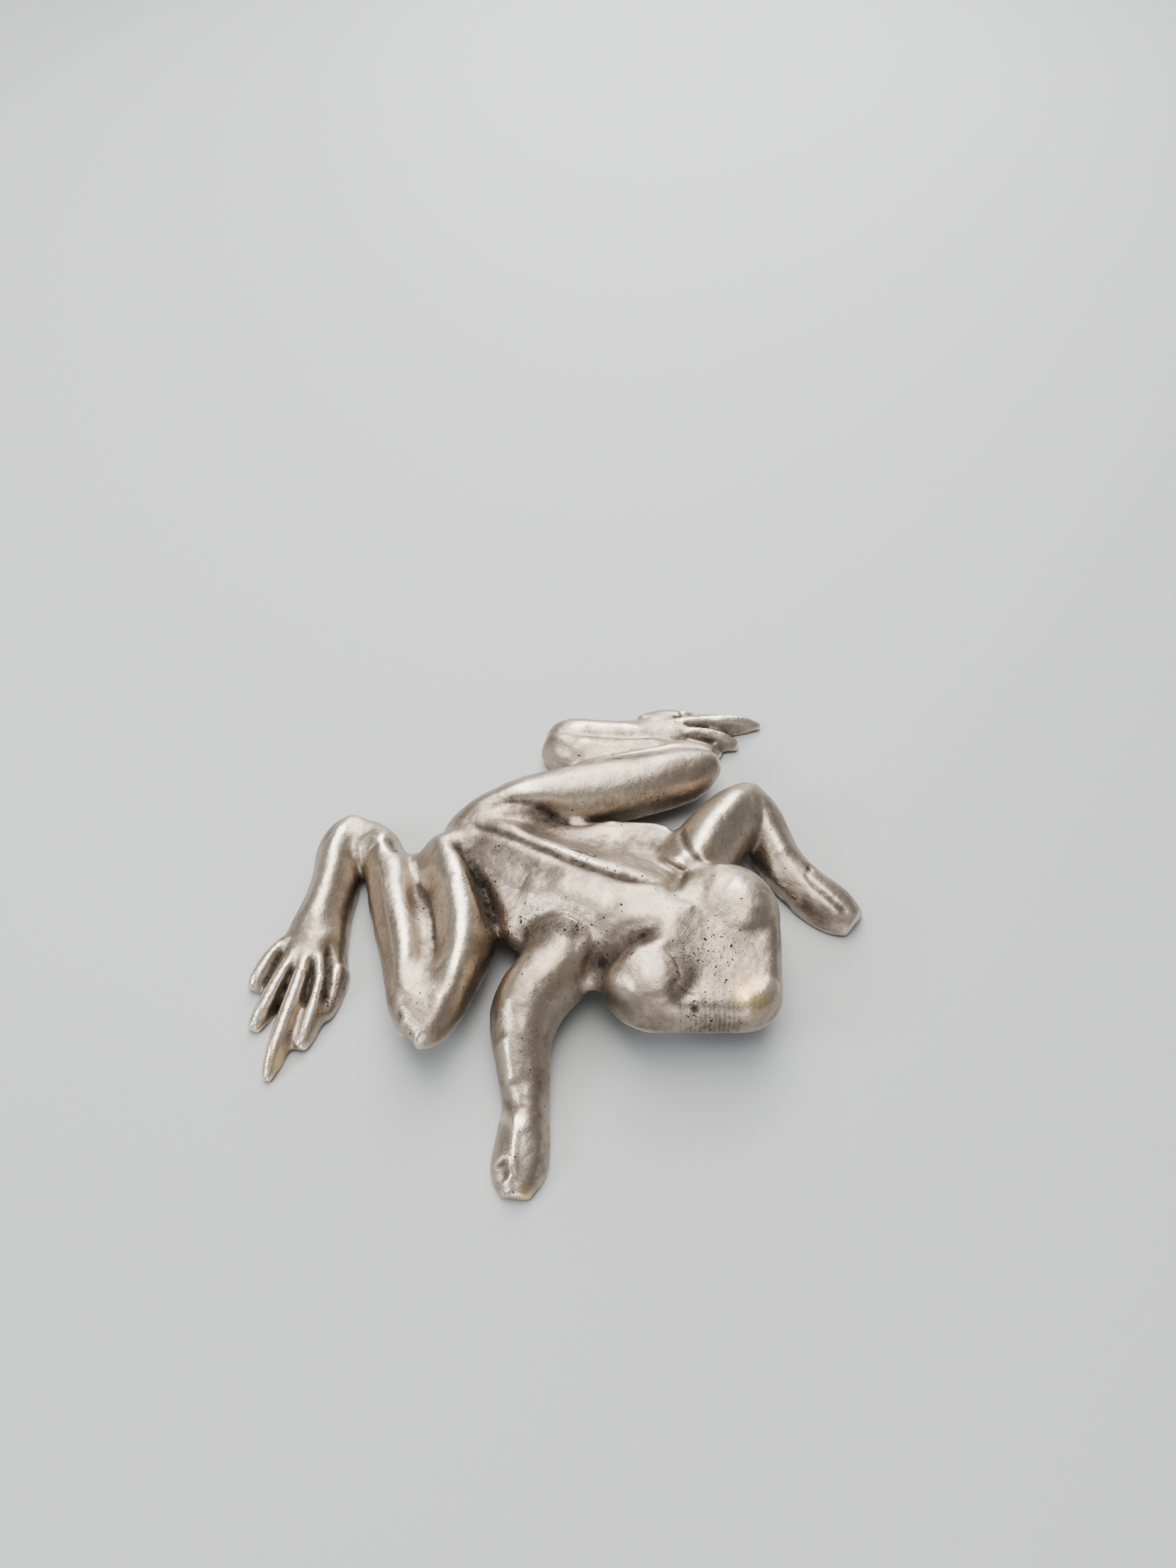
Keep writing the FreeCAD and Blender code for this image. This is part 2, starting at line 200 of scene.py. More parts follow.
bodyStrokes = [
    # the spine crease, with a thin raised lip on its left
    stroke([(8.5, 28), (7.4, 24), (6.8, 14), (6.4, 6), (6.6, 0), (7.3, -6), (8.4, -10), (11, -14.5)],
           2.6, -1.0, True, 0.6),
    stroke([(8.0, 12), (7.6, 6), (7.7, 0), (8.5, -6)], 0.9, 0.15, True, bright=0.5, fade=0.3),
    # smooth band beside it, darkened as a painted dark reflection, then the back's ridge with a painted
    # highlight
    stroke([(4.5, 25), (3.2, 17), (2.6, 9), (2.6, 1)], 4.5, -0.7, dark=0.42),
    stroke([(-1.5, 9), (0, 3), (1.0, -3), (1.6, -10)], 5.0, 0.7, bright=0.25),
    # hollow left flank
    stroke([(12.5, 17), (13.4, 10), (14.6, 3), (15.5, -4)], 7.0, -0.95, dark=0.32),
    stroke([(15, 2), (18, -3), (18.5, -9), (14, -12)], 6.0, -0.5, dark=0.42),
    stroke([(8.9, 4.8), (9.4, 3.2), (9.1, 1.8)], 0.6, -0.3, True, 0.9),
    stroke([(10.2, 2.6), (9.4, 1.0), (9.9, -0.8)], 0.5, -0.3, True, 0.9),
    stroke([(-1.6, 8), (0.6, 8.3), (1.6, 8.0)], 0.45, -0.25, True, 0.2, bright=0.8),
    # folds at the hips
    stroke([(3.4, 27), (1.5, 22.5), (-1, 18), (-3.6, 14), (-6.4, 10.6), (-9, 8)], 3.2, -1.3, True, 0.55),
    stroke([(11.4, 26), (12.6, 23), (15, 19.6), (17, 14.5), (18.4, 9), (20.6, 4.6)], 3.0, -0.9, True, 0.35),
    # lip of the left flank, with a painted highlight along it
    stroke([(20.4, 5), (21.8, 2.6), (23.4, -1.4), (24.4, -5), (23.8, -8)], 1.1, 0.3, bright=0.6, fade=0.15),
    # root of the left arm
    stroke([(25, -8.6), (21.5, -10.6), (18.6, -13.6), (17.4, -17.4)], 1.3, -0.6, True, 0.5),
    # hollow behind the right arm, and the neck, both darkened as painted shade
    stroke([(-9, 6.5), (-7, 2), (-5.4, -3), (-5, -8)], 4.6, -0.6, dark=0.55),
    stroke([(-6, -8.5), (-2, -10.5), (3, -13.5), (8, -15.5), (13, -17)], 4.6, -0.5, dark=0.2),
]

headStrokes = [
    # behind the near eye, then across in front of the neck
    stroke([(-10.5, -11.6), (-8, -11.4), (-5, -12), (-2.3, -13.2), (-0.8, -15.6), (-0.8, -18.6)],
           3.8, -1.4, dark=0.85, fade=0.3),
    stroke([(-0.8, -18.6), (-3.0, -22.5), (-6.5, -24.4), (-9.5, -25)], 3.2, -0.35, False, 0.15),
    # a painted highlight on the near eye's dome
    stroke([(-9, -20), (-6.4, -17.8), (-4.6, -15.4)], 4.0, 0.0, bright=0.35),
    # far eye: a shallow groove behind it with painted shade, and a painted highlight on its dome
    stroke([(15.5, -17.6), (12, -18.6), (9.4, -21), (8.6, -25), (9.6, -29)], 3.4, -0.3, False, 0.25),
    stroke([(14.4, -22), (14.0, -26), (12.4, -30)], 3.6, 0.3, bright=0.5),
    # nose ridge and its worn corner, with a painted highlight along the ridge
    stroke([(-3.4, -33), (0, -35.5), (4, -36)], 2.6, 0.3, bright=0.7),
    # scratches and dents
    stroke([(-8.8, -24.8), (-7, -23.4), (-5.4, -23.9), (-3.0, -21.2), (-2.4, -18.8)], 0.45, -0.12, True, 0.9),
    stroke([(-6.8, -22.4), (-6.4, -25.6), (-5.6, -27.4)], 0.4, -0.12, True, 0.9),
    stroke([(-7.9, -27.4), (-7.5, -28.2)], 0.9, -0.4, False, 1.0, fade=0.1),
]
for mark in range(13):      # chatter marks across the near jaw
    x, y = -9.2 + 0.42 * mark, -26.2 - 0.62 * mark
    headStrokes.append(stroke([(x + 1.4, y + 0.9), (x - 1.8, y - 1.2)], 0.36, -0.22, True, 0.45, fade=0.3))

rightLegStrokes = [
    # the valley between thigh and shank, with a pitted line along its bottom
    stroke([(-4.5, 28), (-12, 20.2), (-17, 15.8), (-22, 12.2)], 6.4, -1.6, True, fade=0.25, dark=0.18),
    stroke([(-5, 28), (-9, 23.4), (-13, 19.2), (-18, 15.2)], 0.7, -0.15, True, 0.45, fade=0.2),
    # crest of the shank, round the knee, and back up the thigh, with painted highlights along the crests
    stroke([(-2, 35), (-7, 30), (-14, 23.2), (-20, 18.2), (-24, 15.4)], 2.6, 0.8, bright=0.45, fade=0.2),
    stroke([(1.6, 27), (-3, 20.5), (-9, 14.6), (-15, 11), (-21, 9), (-24.5, 8.8)], 3.8, 0.8, bright=0.4,
           fade=0.2),
    # outer wall of the shank, darkened as painted shade
    stroke([(-6, 37), (-13, 30), (-20, 23.4), (-27, 16.6)], 1.6, -0.5, dark=0.25),
    # broken-off corner of the knee
    stroke([(-29.6, 13.0), (-31.0, 12.0)], 1.2, -0.15, dark=0.5),
    # the fold behind the ankle
    stroke([(2.6, 35.6), (0.4, 33.8), (-0.8, 32)], 2.4, -0.2, dark=0.35),
    stroke([(-2.6, 40.6), (-4.6, 37)], 3.0, 0.2, bright=0.5),
    stroke([(-1.2, 36), (-3.8, 32.8)], 1.6, -0.25, dark=0.6),
]

rightFootStrokes = [
    # ridges of the toes with painted highlights, and darker grooves between them
    stroke([(1, 43.6), (-5, 44.2), (-12, 42.2), (-19, 39.2), (-25, 37.6)], 3.2, 0.4, bright=0.35),
    stroke([(-26, 41), (-30, 41.6), (-35, 41.2)], 1.6, 0.3, bright=0.3),
    stroke([(-25, 38.4), (-31, 37.2), (-40, 35.8)], 1.6, 0.4, bright=0.4),
    stroke([(-25, 36), (-32, 33.4), (-39, 31), (-46, 28.4)], 1.8, 0.6, bright=0.5),
    stroke([(-24, 34.4), (-28.5, 31.4), (-34, 28.8), (-38.5, 27.4)], 1.5, 0.3, bright=0.25),
    stroke([(-27, 40.2), (-30.5, 39.6), (-35, 39)], 1.3, -0.7, True, 0.45),
    stroke([(-28.4, 36.2), (-33, 35.2), (-40, 33.6)], 1.3, -0.6, True, 0.45),
    stroke([(-25.6, 34.6), (-29.6, 32.2), (-35, 29.8)], 1.4, -0.7, True, 0.45),
    stroke([(-22, 34), (-25, 32), (-29, 29), (-33, 27)], 1.8, -0.8, True, 0.6),
]

leftLegStrokes = [
    # ridges of the left leg with painted highlights, a darker groove, and a darker band on the upper side as
    # painted shade
    stroke([(12.5, 23.6), (17, 21), (21.4, 14), (27, 6.6), (34, 0.6), (40, -3.4)], 4.6, 0.6, bright=0.35),
    stroke([(23.4, 23), (27, 18), (31, 12.4), (36.6, 5.6), (42, 0.4)], 2.4, -0.8, True, 0.45),
    stroke([(29.6, 19.6), (33, 14), (37.4, 8.4), (42, 3.2), (46, -1)], 1.8, 0.5, True, bright=0.35),
    stroke([(36, 20.6), (38, 15.6), (41.2, 9.8), (45, 3.8)], 2.8, 0.7, False, 0.25),
    stroke([(37, 23), (40.4, 18.8), (44.2, 13), (47.6, 8)], 2.8, 0.4, bright=0.5),
]

leftFootStrokes = [
    # toe ridges with painted highlights, and darker grooves between them
    stroke([(50, 11.6), (54, 8), (56.6, 4)], 1.6, 0.4, bright=0.25),
    stroke([(51, 7.6), (56, 1.8), (60.6, -4), (62.6, -7.6)], 1.6, 0.5, bright=0.4),
    stroke([(51, 4), (54, -1.4), (55.6, -6)], 1.4, 0.4, bright=0.25),
    stroke([(53.4, 7.6), (57, 2.6)], 1.2, -0.6, True, 0.5),
    stroke([(52.2, 4.2), (55.6, -0.4)], 1.2, -0.6, True, 0.5),
    stroke([(49.6, 3.4), (51.4, 0), (53.4, -3)], 1.1, -0.5, True, 0.5),
]

armStrokes = [
    # right arm: shoulder plane, ridge to the elbow, step at the wrist, two planes on the flat hand; the bright
    # tones are painted highlights and the darker valley is painted shade
    stroke([(-9, -1), (-14, 0.4), (-19, 0.2), (-23, -2.6)], 3.6, 0.4, bright=0.35),
    stroke([(-24, -2.4), (-27, -5), (-30, -8.4)], 2.2, 0.35, bright=0.3),
    stroke([(-22.5, -6.5), (-26, -8), (-30, -10.4)], 2.8, -0.35, dark=0.30),
    stroke([(-31.0, -4.6), (-32.2, -8.6), (-31.8, -12), (-30.4, -14.6)], 1.2, -0.35, True, 0.2),
    stroke([(-33.6, -7.4), (-34.4, -10.6), (-34, -13.6)], 2.2, 0.15, bright=0.7),
    stroke([(-32.6, -10.2), (-37, -12.6), (-41.6, -15.0)], 1.2, 0.35, True, bright=0.5),
    stroke([(-33.4, -13), (-38, -15.2), (-42, -16.8)], 2.4, -0.3, bright=0.35),
    stroke([(-40.2, -12), (-41.8, -14.4)], 1.6, -0.5, dark=0.4),
    # left arm: rounded shoulder with a painted highlight, elbow, file marks, two-fingered hand
    stroke([(19, -14.6), (26, -14), (33, -14.4), (39, -15)], 3.6, 0.45, bright=0.45),
    stroke([(37, -18.6), (33.6, -23), (31.6, -27)], 3.0, 0.3, bright=0.25),
    stroke([(28.6, -24), (27.2, -28), (25.6, -33)], 1.8, 0.35, True, bright=0.45),
    stroke([(30.4, -30.4), (28.8, -33.6), (28.0, -37), (27.2, -41.6)], 1.1, -0.4, True, 0.5),
    stroke([(31.4, -30.8), (32.2, -31.4)], 1.0, -0.5, False, 1.0, fade=0.1),
]

# The bottom of the right leg's valley is rubbed soft along its whole length
softValley = dict(path=[(-3, 30), (-7.5, 25.5), (-13, 20), (-18, 15.6), (-23, 12)], reach=6.0)

# Places that are rubbed soft before the strokes: plan point, radius in mm and strength
softSpots = [
    (-7, -18, 9, 1.0), (13.5, -25, 9, 1.0), (3, -22, 10, 1.0), (-28.6, 10.8, 6.0, 1.0), (-24, 32.4, 4.5, 1.0),
    (-2, 41.5, 5, 1.0), (11, -23.5, 8, 1.0), (-5, 40, 5, 0.9), (-1, 34, 4, 0.8), (-24, 37.4, 6, 0.6),
    (48, 8, 7, 0.8), (-10, 0, 6, 0.8), (22, -11, 5, 0.7), (8, 24, 6, 0.8), (-3, 22, 5, 0.7), (40, 14, 6, 0.5),
    (1, -12, 7, 0.8), (15, -17, 5, 0.8),
]

allStrokes = (bodyStrokes + headStrokes + rightLegStrokes + rightFootStrokes + leftLegStrokes
              + leftFootStrokes + armStrokes)

# Worn places where the brass shows: plan point, radius in mm and strength
brassWorn = [
    (-1.0, -34.0, 4.8, 0.95), (-43.5, 29.2, 4.0, 0.75), (8, 18, 6, 0.25), (-17, 0, 6, 0.3), (-24, 33.5, 5, 0.3),
    (-12, -3, 8, 0.3), (12, -27, 4, 0.35), (-42, -17.5, 2.0, 0.8), (26, 3, 8, 0.25), (-6, 12, 5, 0.3),
    (20, -16, 3.5, 0.35),
]

# Where the casting is porous: plan point, radius in mm and strength
porous = [
    (-4, 15, 6, 1.0), (-8, 9, 5, 1.0), (-6, 4, 6, 0.8), (-4, -4, 6, 0.6), (9.5, 2, 4, 0.9), (-12, 21, 6, 0.6),
    (2, -25, 10, 0.9), (-5, -16, 6, 0.6), (-5, -8, 6, 0.5), (-29, 9, 5, 0.5), (-30, 29, 7, 0.6),
    (-41, -14, 4, 0.5), (30, 1, 7, 0.5), (50, 4, 8, 0.5), (13, 12, 5, 0.5), (-6, -27, 6, 0.7),
]

# Toe tips and hand ends, which are rounded off
tipSpots = [
    (-35.3, 40.7), (-41.2, 35.8), (-47, 28), (-40, 27), (-33.6, 26.9), (57.9, 2), (63.2, -8.2), (55.9, -6.6),
    (52, -4.8), (-44, -15), (-42.4, -18), (26, -42), (30, -42.4),
]


def makeSkin():
    copies = []
    for name, node in frame["nodes"].items():
        copy = bpy.data.objects.new("copy_" + name, node.data.copy())
        bpy.context.scene.collection.objects.link(copy)
        copies.append(copy)
    selectOnly(*copies)
    bpy.ops.object.join()
    skin = bpy.context.view_layer.objects.active
    skin.name = "skin"
    skin.data.materials.clear()
    bpy.ops.object.mode_set(mode="EDIT")
    bpy.ops.mesh.select_all(action="SELECT")
    bpy.ops.mesh.remove_doubles(threshold=1e-6)
    bpy.ops.object.mode_set(mode="OBJECT")
    applyModifier(skin, "REMESH", mode="VOXEL", voxel_size=casting["voxel"])
    keepOutside(skin)
    return skin


def keepOutside(skin):
    # drop the closed bubbles that are left inside where pieces met face to face
    points = readVectors(skin.data.vertices, "co")
    lowest = int(points[:, 2].argmin())
    bpy.ops.object.mode_set(mode="EDIT")
    bpy.ops.mesh.select_all(action="DESELECT")
    bpy.ops.object.mode_set(mode="OBJECT")
    skin.data.vertices[lowest].select = True
    bpy.ops.object.mode_set(mode="EDIT")
    bpy.ops.mesh.select_mode(type="VERT")
    bpy.ops.mesh.select_linked()
    bpy.ops.mesh.select_all(action="INVERT")
    bpy.ops.mesh.delete(type="VERT")
    bpy.ops.object.mode_set(mode="OBJECT")


def fillHollows(skin):
    edges = readVectors(skin.data.edges, "vertices", 2, np.int64)
    points = castToPlan(readVectors(skin.data.vertices, "co"))
    points = relax(points, edges, casting["rounding"])
    for turn in range(casting["filletTurns"]):
        writePoints(skin.data, planToCast(points))
        normals = readVectors(skin.data.vertices, "normal")
        smooth = relax(points, edges, casting["fillet"])
        standOff = ((smooth - points) * normals).sum(1)
        share = ramp(standOff, casting["filletFrom"], casting["filletFull"]) * ramp(normals[:, 2], 0.0, 0.4)
        points = points + share[:, None] * (smooth - points)
    worn = relax(points, edges, casting["soften"])
    share = np.zeros(len(points))
    for x, y, radius, strength in softSpots:
        gap = np.hypot(points[:, 0] - x, points[:, 1] - y)
        share = np.maximum(share, strength * ramp(1 - gap / radius, 0, 0.8))
    gap, along = distanceToPath(points[:, :2], smoothPath(softValley["path"]))
    share = np.maximum(share, ramp(1 - gap / softValley["reach"], 0, 0.7))
    share *= ramp(normals[:, 2], -0.3, 0.2)
    points = points + share[:, None] * (worn - points)
    worn = relax(points, edges, casting["tips"])
    share = np.zeros(len(points))
    for x, y in tipSpots:
        gap = np.hypot(points[:, 0] - x, points[:, 1] - y)
        share = np.maximum(share, ramp(1 - gap / casting["tipReach"], 0, 0.6))
    for path in seams.values():
        gap, along = distanceToPath(points[:, :2], np.array(path))
        share = np.maximum(share, ramp(1 - gap / casting["seamReach"], 0, 0.5))
    points = points + share[:, None] * (worn - points)
    writePoints(skin.data, planToCast(points))


def modelStrokes(skin):
    # strokes push the upward-facing skin along its normal, and leave their tone in two attributes: patina with
    # painted shade, and polish with painted highlights
    mesh = skin.data
    edges = readVectors(mesh.edges, "vertices", 2, np.int64)
    points = castToPlan(readVectors(mesh.vertices, "co"))
    normals = readVectors(mesh.vertices, "normal")
    upward = ramp(normals[:, 2], -0.15, 0.35)
    smoothNormals = relax(normals, edges, 12)
    smoothNormals /= np.maximum(np.linalg.norm(smoothNormals, axis=1), 1e-6)[:, None]
    height = np.zeros(len(points))
    dark = np.zeros(len(points))
    bright = np.zeros(len(points))
    for mark in allStrokes:
        path = smoothPath(mark["path"])
        reach = mark["width"] * 1.3
        inside = ((points[:, :2] > path.min(0) - reach) & (points[:, :2] < path.max(0) + reach)).all(1)
        inside &= upward > 0
        chosen = np.nonzero(inside)[0]
        gap, along = distanceToPath(points[chosen, :2], path)
        share = np.clip(1 - gap / mark["width"], 0, 1)
        profile = share ** 2 if mark["sharp"] else (1 - (1 - share) ** 2) ** 2
        fade = mark["fade"]
        ends = ramp(along, 0, fade) * ramp(1 - along, 0, fade) if fade else 1.0
        height[chosen] += mark["height"] * profile * ends * upward[chosen]
        tone = ramp(1 - gap / (mark["width"] * mark["spread"]), 0, 1) * (0.2 + 0.8 * ends)
        if mark["dark"]:
            dark[chosen] = np.maximum(dark[chosen], mark["dark"] * tone)
        if mark["bright"]:
            bright[chosen] = np.maximum(bright[chosen], mark["bright"] * tone)
    points = points + height[:, None] * smoothNormals
    points = relax(points, edges, casting["settle"])
    points[:, 2] = np.maximum(points[:, 2], 0.0)
    writePoints(mesh, planToCast(points))
    return dark, bright


toneNames = ("dark", "bright", "brass", "pores")

weather = {
    "finePasses": 12,      # smoothing that finds creases and edges
    "broadPasses": 90,     # smoothing that finds whole hollows and swells
    "fineHollow": (0.01, 0.10),
    "broadHollow": (0.05, 0.6),
    "fineProud": (0.01, 0.07),
    "broadProud": (0.1, 0.6),
    # patina and painted shade in hollows, painted shade on faces turned down and on steep walls, and walls
    # dulled of painted highlight
    "hollowDark": 0.85,
    "underDark": 0.75,
    "wallDark": 0.14,
    "wallDull": 0.4,
    "porousAll": 0.15,
}


def saveTone(mesh, name, values):
    attribute = mesh.attributes.new(name, "FLOAT", "POINT")
    attribute.data.foreach_set("value", np.clip(values, 0, 1).astype(np.float32))


def weatherSkin(skin, dark, bright):
    # tones from the shape itself: what is hollow at a small and a large size, and what stands proud; small
    # hollows take patina, large hollows take painted shade, and proud places take polish
    mesh = skin.data
    edges = readVectors(mesh.edges, "vertices", 2, np.int64)
    points = castToPlan(readVectors(mesh.vertices, "co"))
    normals = readVectors(mesh.vertices, "normal")
    w = weather
    fine = ((relax(points, edges, w["finePasses"]) - points) * normals).sum(1)
    broad = ((relax(points, edges, w["broadPasses"]) - points) * normals).sum(1)
    fine = relax(fine[:, None], edges, 3)[:, 0]
    broad = relax(broad[:, None], edges, 6)[:, 0]
    hollow = ramp(fine, *w["fineHollow"]) * 0.7 + ramp(broad, *w["broadHollow"]) * 0.8
    proud = ramp(-fine, *w["fineProud"]) * 0.6 + ramp(-broad, *w["broadProud"]) * 0.7
    # faces turned down and steep walls are darkened as painted shade, and walls lose some of the painted
    # highlight
    under = ramp(-normals[:, 2], 0.0, 0.6)
    wall = ramp(0.75 - normals[:, 2], 0.0, 0.7)
    dark = dark + np.clip(hollow, 0, 1) * w["hollowDark"] * (1 - dark)
    dark = np.maximum(relax(dark[:, None], edges, 3)[:, 0], w["underDark"] * under)
    dark = np.clip(dark + w["wallDark"] * wall * (1 - proud), 0, 1)
    bright = relax((bright + proud * (1 - bright))[:, None], edges, 3)[:, 0] * (1 - w["wallDull"] * wall)
    brass = np.zeros(len(points))
    for x, y, radius, strength in brassWorn:
        gap = np.hypot(points[:, 0] - x, points[:, 1] - y)
        brass = np.maximum(brass, strength * ramp(1 - gap / radius, 0, 0.8))
    pores = np.full(len(points), w["porousAll"])
    for x, y, radius, strength in porous:
        gap = np.hypot(points[:, 0] - x, points[:, 1] - y)
        pores = np.maximum(pores, strength * ramp(1 - gap / radius, 0, 0.7))
    saveTone(mesh, "dark", dark)
    saveTone(mesh, "bright", bright)
    saveTone(mesh, "brass", brass)
    saveTone(mesh, "pores", pores)


def roughenSkin(skin):
    for label, size, height in (("lumps", casting["lumpSize"], casting["lumpHeight"]),
                                ("grain", casting["grainSize"], casting["grainHeight"])):
        texture = bpy.data.textures.new(label, "CLOUDS")
        texture.noise_scale = size
        texture.noise_depth = 2
        applyModifier(skin, "DISPLACE", texture=texture, texture_coords="LOCAL", strength=2 * height,
                      mid_level=0.5)
    points = readVectors(skin.data.vertices, "co")
    points[:, 2] = np.clip(points[:, 2], 0.0, cadBounds[1][2] * casting["highest"])
    writePoints(skin.data, points)


# Seams between the members, the same plan lines as the frame's.
seams = {
    "rightHip": [(4.0, 32.0), (3.6, 27.0), (-9.9, 5.0)],
    "rightKnee": [(-40.0, 7.4), (-22.3, 11.9), (-16.5, 16.9), (-5.2, 29.3), (0.5, 31.0), (4.0, 32.0)],
    "rightAnkle": [(-40.0, 16.0), (-10.0, 36.0), (3.2, 46.6), (9.0, 51.0)],
    "leftHip": [(12.3, 34.0), (12.0, 25.0), (17.3, 14.0), (19.8, 7.7), (23.8, 1.4), (26.4, -1.4)],
    "leftKnee": [(24.0, 34.0), (29.0, 20.0), (44.5, 1.0), (48.3, -4.5)],
    "leftAnkle": [(36.6, 34.0), (36.8, 27.0), (46.4, 5.4), (47.6, 1.0), (48.3, -4.5)],
    "rightShoulder": [(-9.9, 5.0), (-9.5, -11.5)],
    "rightElbow": [(-22.0, 2.6), (-18.4, -14.0)],
    "rightWrist": [(-35.5, -4.0), (-27.6, -17.0)],
    "leftShoulder": [(23.5, -19.5), (21.5, -13.0), (26.5, -7.6), (29.5, -4.8)],
    "leftElbow": [(23.5, -19.5), (28.4, -20.4), (50.0, -14.5)],
    "leftWrist": [(22.8, -29.5), (38.5, -32.5)],
    "neck": [(-9.5, -11.5), (-3.5, -12.0), (3.0, -15.0), (15.0, -17.0), (23.5, -19.5)],
    "rightSideGap": [(-9.9, 5.0), (-14.0, 3.9), (-22.0, 2.6), (-40.0, 1.0)],
    "leftSideGap": [(26.4, -1.4), (29.5, -4.8), (37.0, -8.3), (48.3, -9.2)],
    "rightCheekGap": [(-9.5, -11.5), (-18.4, -14.0), (-27.6, -17.0)],
    "leftCheekGap": [(23.5, -19.5), (24.5, -25.0), (22.8, -29.5), (19.0, -48.0)],
}


def memberOutlines():
    s = seams
    return {
        "torso": s["rightHip"] + s["rightShoulder"][1:] + s["neck"][1:] + s["leftShoulder"][1:]
                 + s["leftHip"][::-1] + [(9.0, 34.0)],
        "head": s["rightCheekGap"] + [(-27.6, -48.0)] + s["leftCheekGap"][::-1] + s["neck"][3:0:-1],
        "right_thigh": s["rightHip"] + s["rightSideGap"][1:] + s["rightKnee"][:-1],
        "right_shank": s["rightKnee"][::-1] + s["rightAnkle"] + [(9.0, 34.0)],
        "right_foot": s["rightAnkle"][::-1] + [(-60.0, 16.0), (-60.0, 60.0), (9.0, 60.0)],
        "left_thigh": s["leftHip"] + s["leftSideGap"][1:] + s["leftKnee"][::-1],
        "left_shank": s["leftKnee"] + s["leftAnkle"][-2::-1],
        "left_foot": s["leftAnkle"] + [(48.3, -12.0), (75.0, -12.0), (75.0, 34.0)],
        "right_upper_arm": s["rightSideGap"][:3] + [s["rightElbow"][1]] + [s["rightShoulder"][1]],
        "right_forearm": s["rightElbow"][:1] + [s["rightSideGap"][3]] + s["rightWrist"] + s["rightElbow"][1:],
        "right_hand": s["rightWrist"] + [(-27.6, -30.0), (-60.0, -30.0), (-60.0, 1.0), s["rightSideGap"][3]],
        "left_upper_arm": s["leftShoulder"] + s["leftSideGap"][2:] + s["leftElbow"][:0:-1],
        "left_forearm": s["leftElbow"] + [(50.0, -32.0)] + s["leftWrist"][::-1] + [s["leftCheekGap"][1]],
        "left_hand": s["leftWrist"] + [(50.0, -32.0), (50.0, -48.0), s["leftCheekGap"][3]],
    }


def makeCutter(outline):
    # an upright block over a plan outline
    bpy.ops.mesh.primitive_circle_add(vertices=len(outline), radius=0.01, fill_type="NGON")
    cutter = bpy.context.view_layer.objects.active
    area = sum(a[0] * b[1] - b[0] * a[1] for a, b in zip(outline, outline[1:] + outline[:1]))
    if area < 0:
        outline = outline[::-1]
    flat = planToCast(np.array([[x, y, 0.0] for x, y in outline]))
    flat[:, 2] = casting["cutterBottom"]
    writePoints(cutter.data, flat)
    bpy.ops.object.mode_set(mode="EDIT")
    bpy.ops.mesh.select_all(action="SELECT")
    bpy.ops.mesh.extrude_region_move(TRANSFORM_OT_translate={"value": (0, 0, casting["cutterHeight"])})
    bpy.ops.mesh.select_all(action="SELECT")
    bpy.ops.mesh.normals_make_consistent(inside=False)
    bpy.ops.mesh.quads_convert_to_tris()
    bpy.ops.object.mode_set(mode="OBJECT")
    return cutter


def sharpenCut(member, outline):
    # the hidden walls of a cut are kept out of the skin's smooth shading
    mesh = member.data
    centres = castToPlan(readVectors(mesh.polygons, "center"))
    facing = readVectors(mesh.polygons, "normal")
    gap, along = distanceToPath(centres[:, :2], np.array(outline + outline[:1]))
    cut = np.nonzero((gap < casting["cutGap"]) & (np.abs(facing[:, 2]) < 0.02))[0]
    cutEdges = {key for number in cut for key in mesh.polygons[number].edge_keys}
    for edge in mesh.edges:
        if edge.key in cutEdges:
            edge.use_edge_sharp = True


def plantTree(points):
    tree = KDTree(len(points))
    for number, point in enumerate(points):
        tree.insert(point, number)
    tree.balance()
    return tree


def divideSkin(skin):
    # the points that a cut makes take their tones from the skin's nearest point
    members = {}
    tree = plantTree(readVectors(skin.data.vertices, "co"))
    tones = {name: readVectors(skin.data.attributes[name].data, "value", 1)[:, 0] for name in toneNames}
    for name, outline in memberOutlines().items():
        cutter = makeCutter(outline)
        member = bpy.data.objects.new("cast_" + name, skin.data.copy())
        bpy.context.scene.collection.objects.link(member)
        applyModifier(member, "BOOLEAN", operation="INTERSECT", solver="MANIFOLD", object=cutter)
        bpy.data.objects.remove(cutter)
        selectOnly(member)
        bpy.ops.object.shade_smooth_by_angle(angle=math.radians(casting["sharpAngle"]))
        sharpenCut(member, outline)
        points = readVectors(member.data.vertices, "co")
        gap, along = distanceToPath(castToPlan(points)[:, :2], np.array(outline + outline[:1]))
        atCut = np.nonzero(gap < casting["toneGap"])[0]
        nearest = [tree.find(points[number])[1] for number in atCut]
        for tone, values in tones.items():
            attribute = member.data.attributes[tone]
            kept = readVectors(attribute.data, "value", 1)[:, 0]
            kept[atCut] = values[nearest]
            attribute.data.foreach_set("value", kept.astype(np.float32))
        members[name] = member
    return members


class Flow:
    # a shader socket that Python's own operators work on

    def __init__(self, tree, socket):
        self.tree = tree
        self.socket = socket

    def maths(self, operation, *values):
        node = makeNode(self.tree, "ShaderNodeMath", {"operation": operation}, dict(enumerate(values)))
        return node["Value"]

    def __add__(self, other):
        return self.maths("ADD", self, other)

    def __sub__(self, other):
        return self.maths("SUBTRACT", self, other)

    def __mul__(self, other):
        return self.maths("MULTIPLY", self, other)

    def __rsub__(self, other):
        return self.maths("SUBTRACT", other, self)

    __radd__ = __add__
    __rmul__ = __mul__

    def most(self, other):
        return self.maths("MAXIMUM", self, other)

    def between(self, low, high):
        return makeNode(self.tree, "ShaderNodeMapRange", {"interpolation_type": "SMOOTHSTEP"},
                        {"Value": self, "From Min": low, "From Max": high})["Result"]


